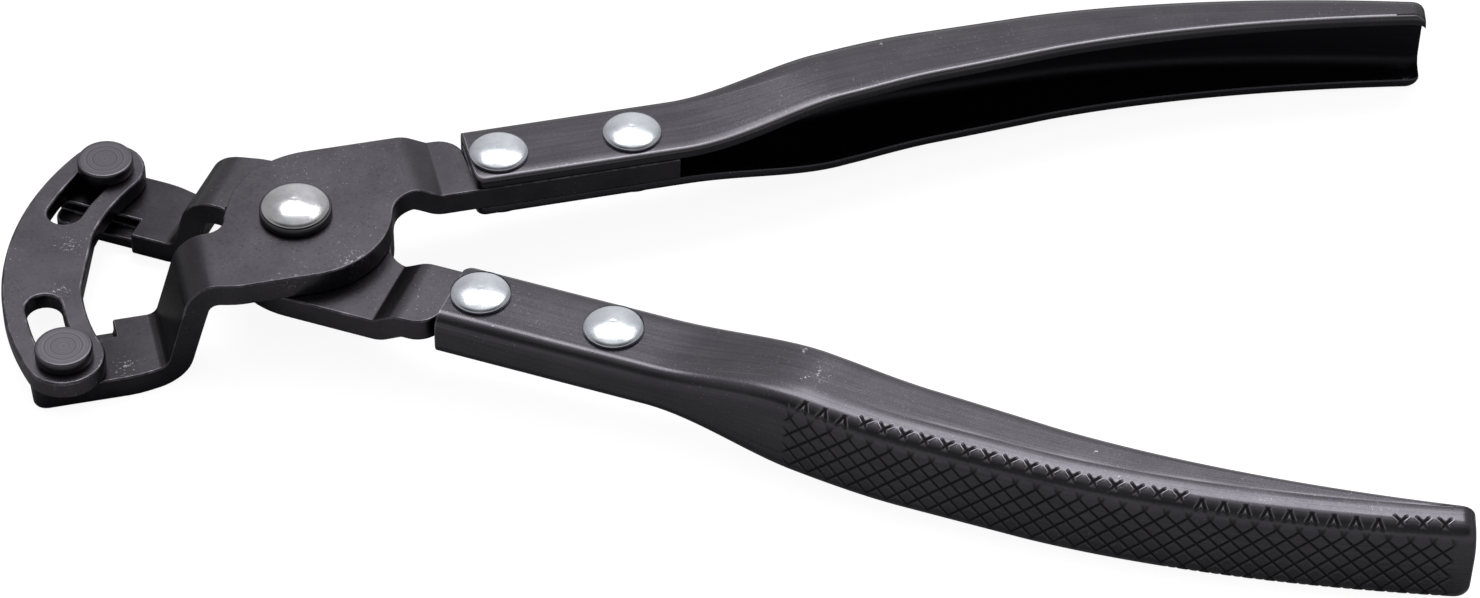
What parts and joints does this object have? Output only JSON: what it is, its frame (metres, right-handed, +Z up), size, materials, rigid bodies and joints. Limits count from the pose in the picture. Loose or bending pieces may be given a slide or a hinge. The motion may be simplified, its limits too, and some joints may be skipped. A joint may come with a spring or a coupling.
{
  "type": "pipe pliers",
  "caption": "Lever pliers with pressed channel handles, offset stepped jaws and a slotted link across the jaw tips.",
  "frame": {"origin": "on the pivot axis, midway between the two levers where they cross", "axes": "+X along the centre line from the jaws to the handles, +Z up the pivot axis towards its washer, +Y towards the handle of the upper lever; handles fully open"},
  "size_m": [0.2548, 0.14, 0.0255],
  "materials": {
    "blackened_steel": "black oxide on forged plate, satin, worn bright along the edges",
    "blackened_sheet": "black oxide on pressed sheet, satin, cross-knurled grip",
    "zinc": "bright zinc plate, hammered dome",
    "turned_pin": "turned steel, blackened"
  },
  "bodies": {
    "lower_arm": {"lower_lever": "blackened_steel", "lower_handle": "blackened_sheet", "lower_handle_rivet_1": "zinc", "lower_handle_rivet_2": "zinc", "lower_jaw_pin": "turned_pin", "pivot_rivet": "zinc", "pivot_washer": "turned_pin"},
    "upper_arm": {"upper_lever": "blackened_steel", "upper_handle": "blackened_sheet", "upper_handle_rivet_1": "zinc", "upper_handle_rivet_2": "zinc", "upper_jaw_pin": "turned_pin"},
    "link": {"slotted_link": "blackened_steel"}
  },
  "joints": [
    {"name": "arms_close", "type": "hinge", "parent": "lower_arm", "child": "upper_arm", "pos_m": [0, 0, 0], "axis": [0, 0, -1], "range_deg": [0, 34]},
    {"name": "link_follows", "type": "hinge", "parent": "lower_arm", "child": "link", "pos_m": [0, 0, 0], "axis": [0, 0, -1], "range_deg": [0, 17]}
  ],
  "couplings": [
    {"joint": "link_follows", "follows": "arms_close", "ratio": 0.5}
  ]
}
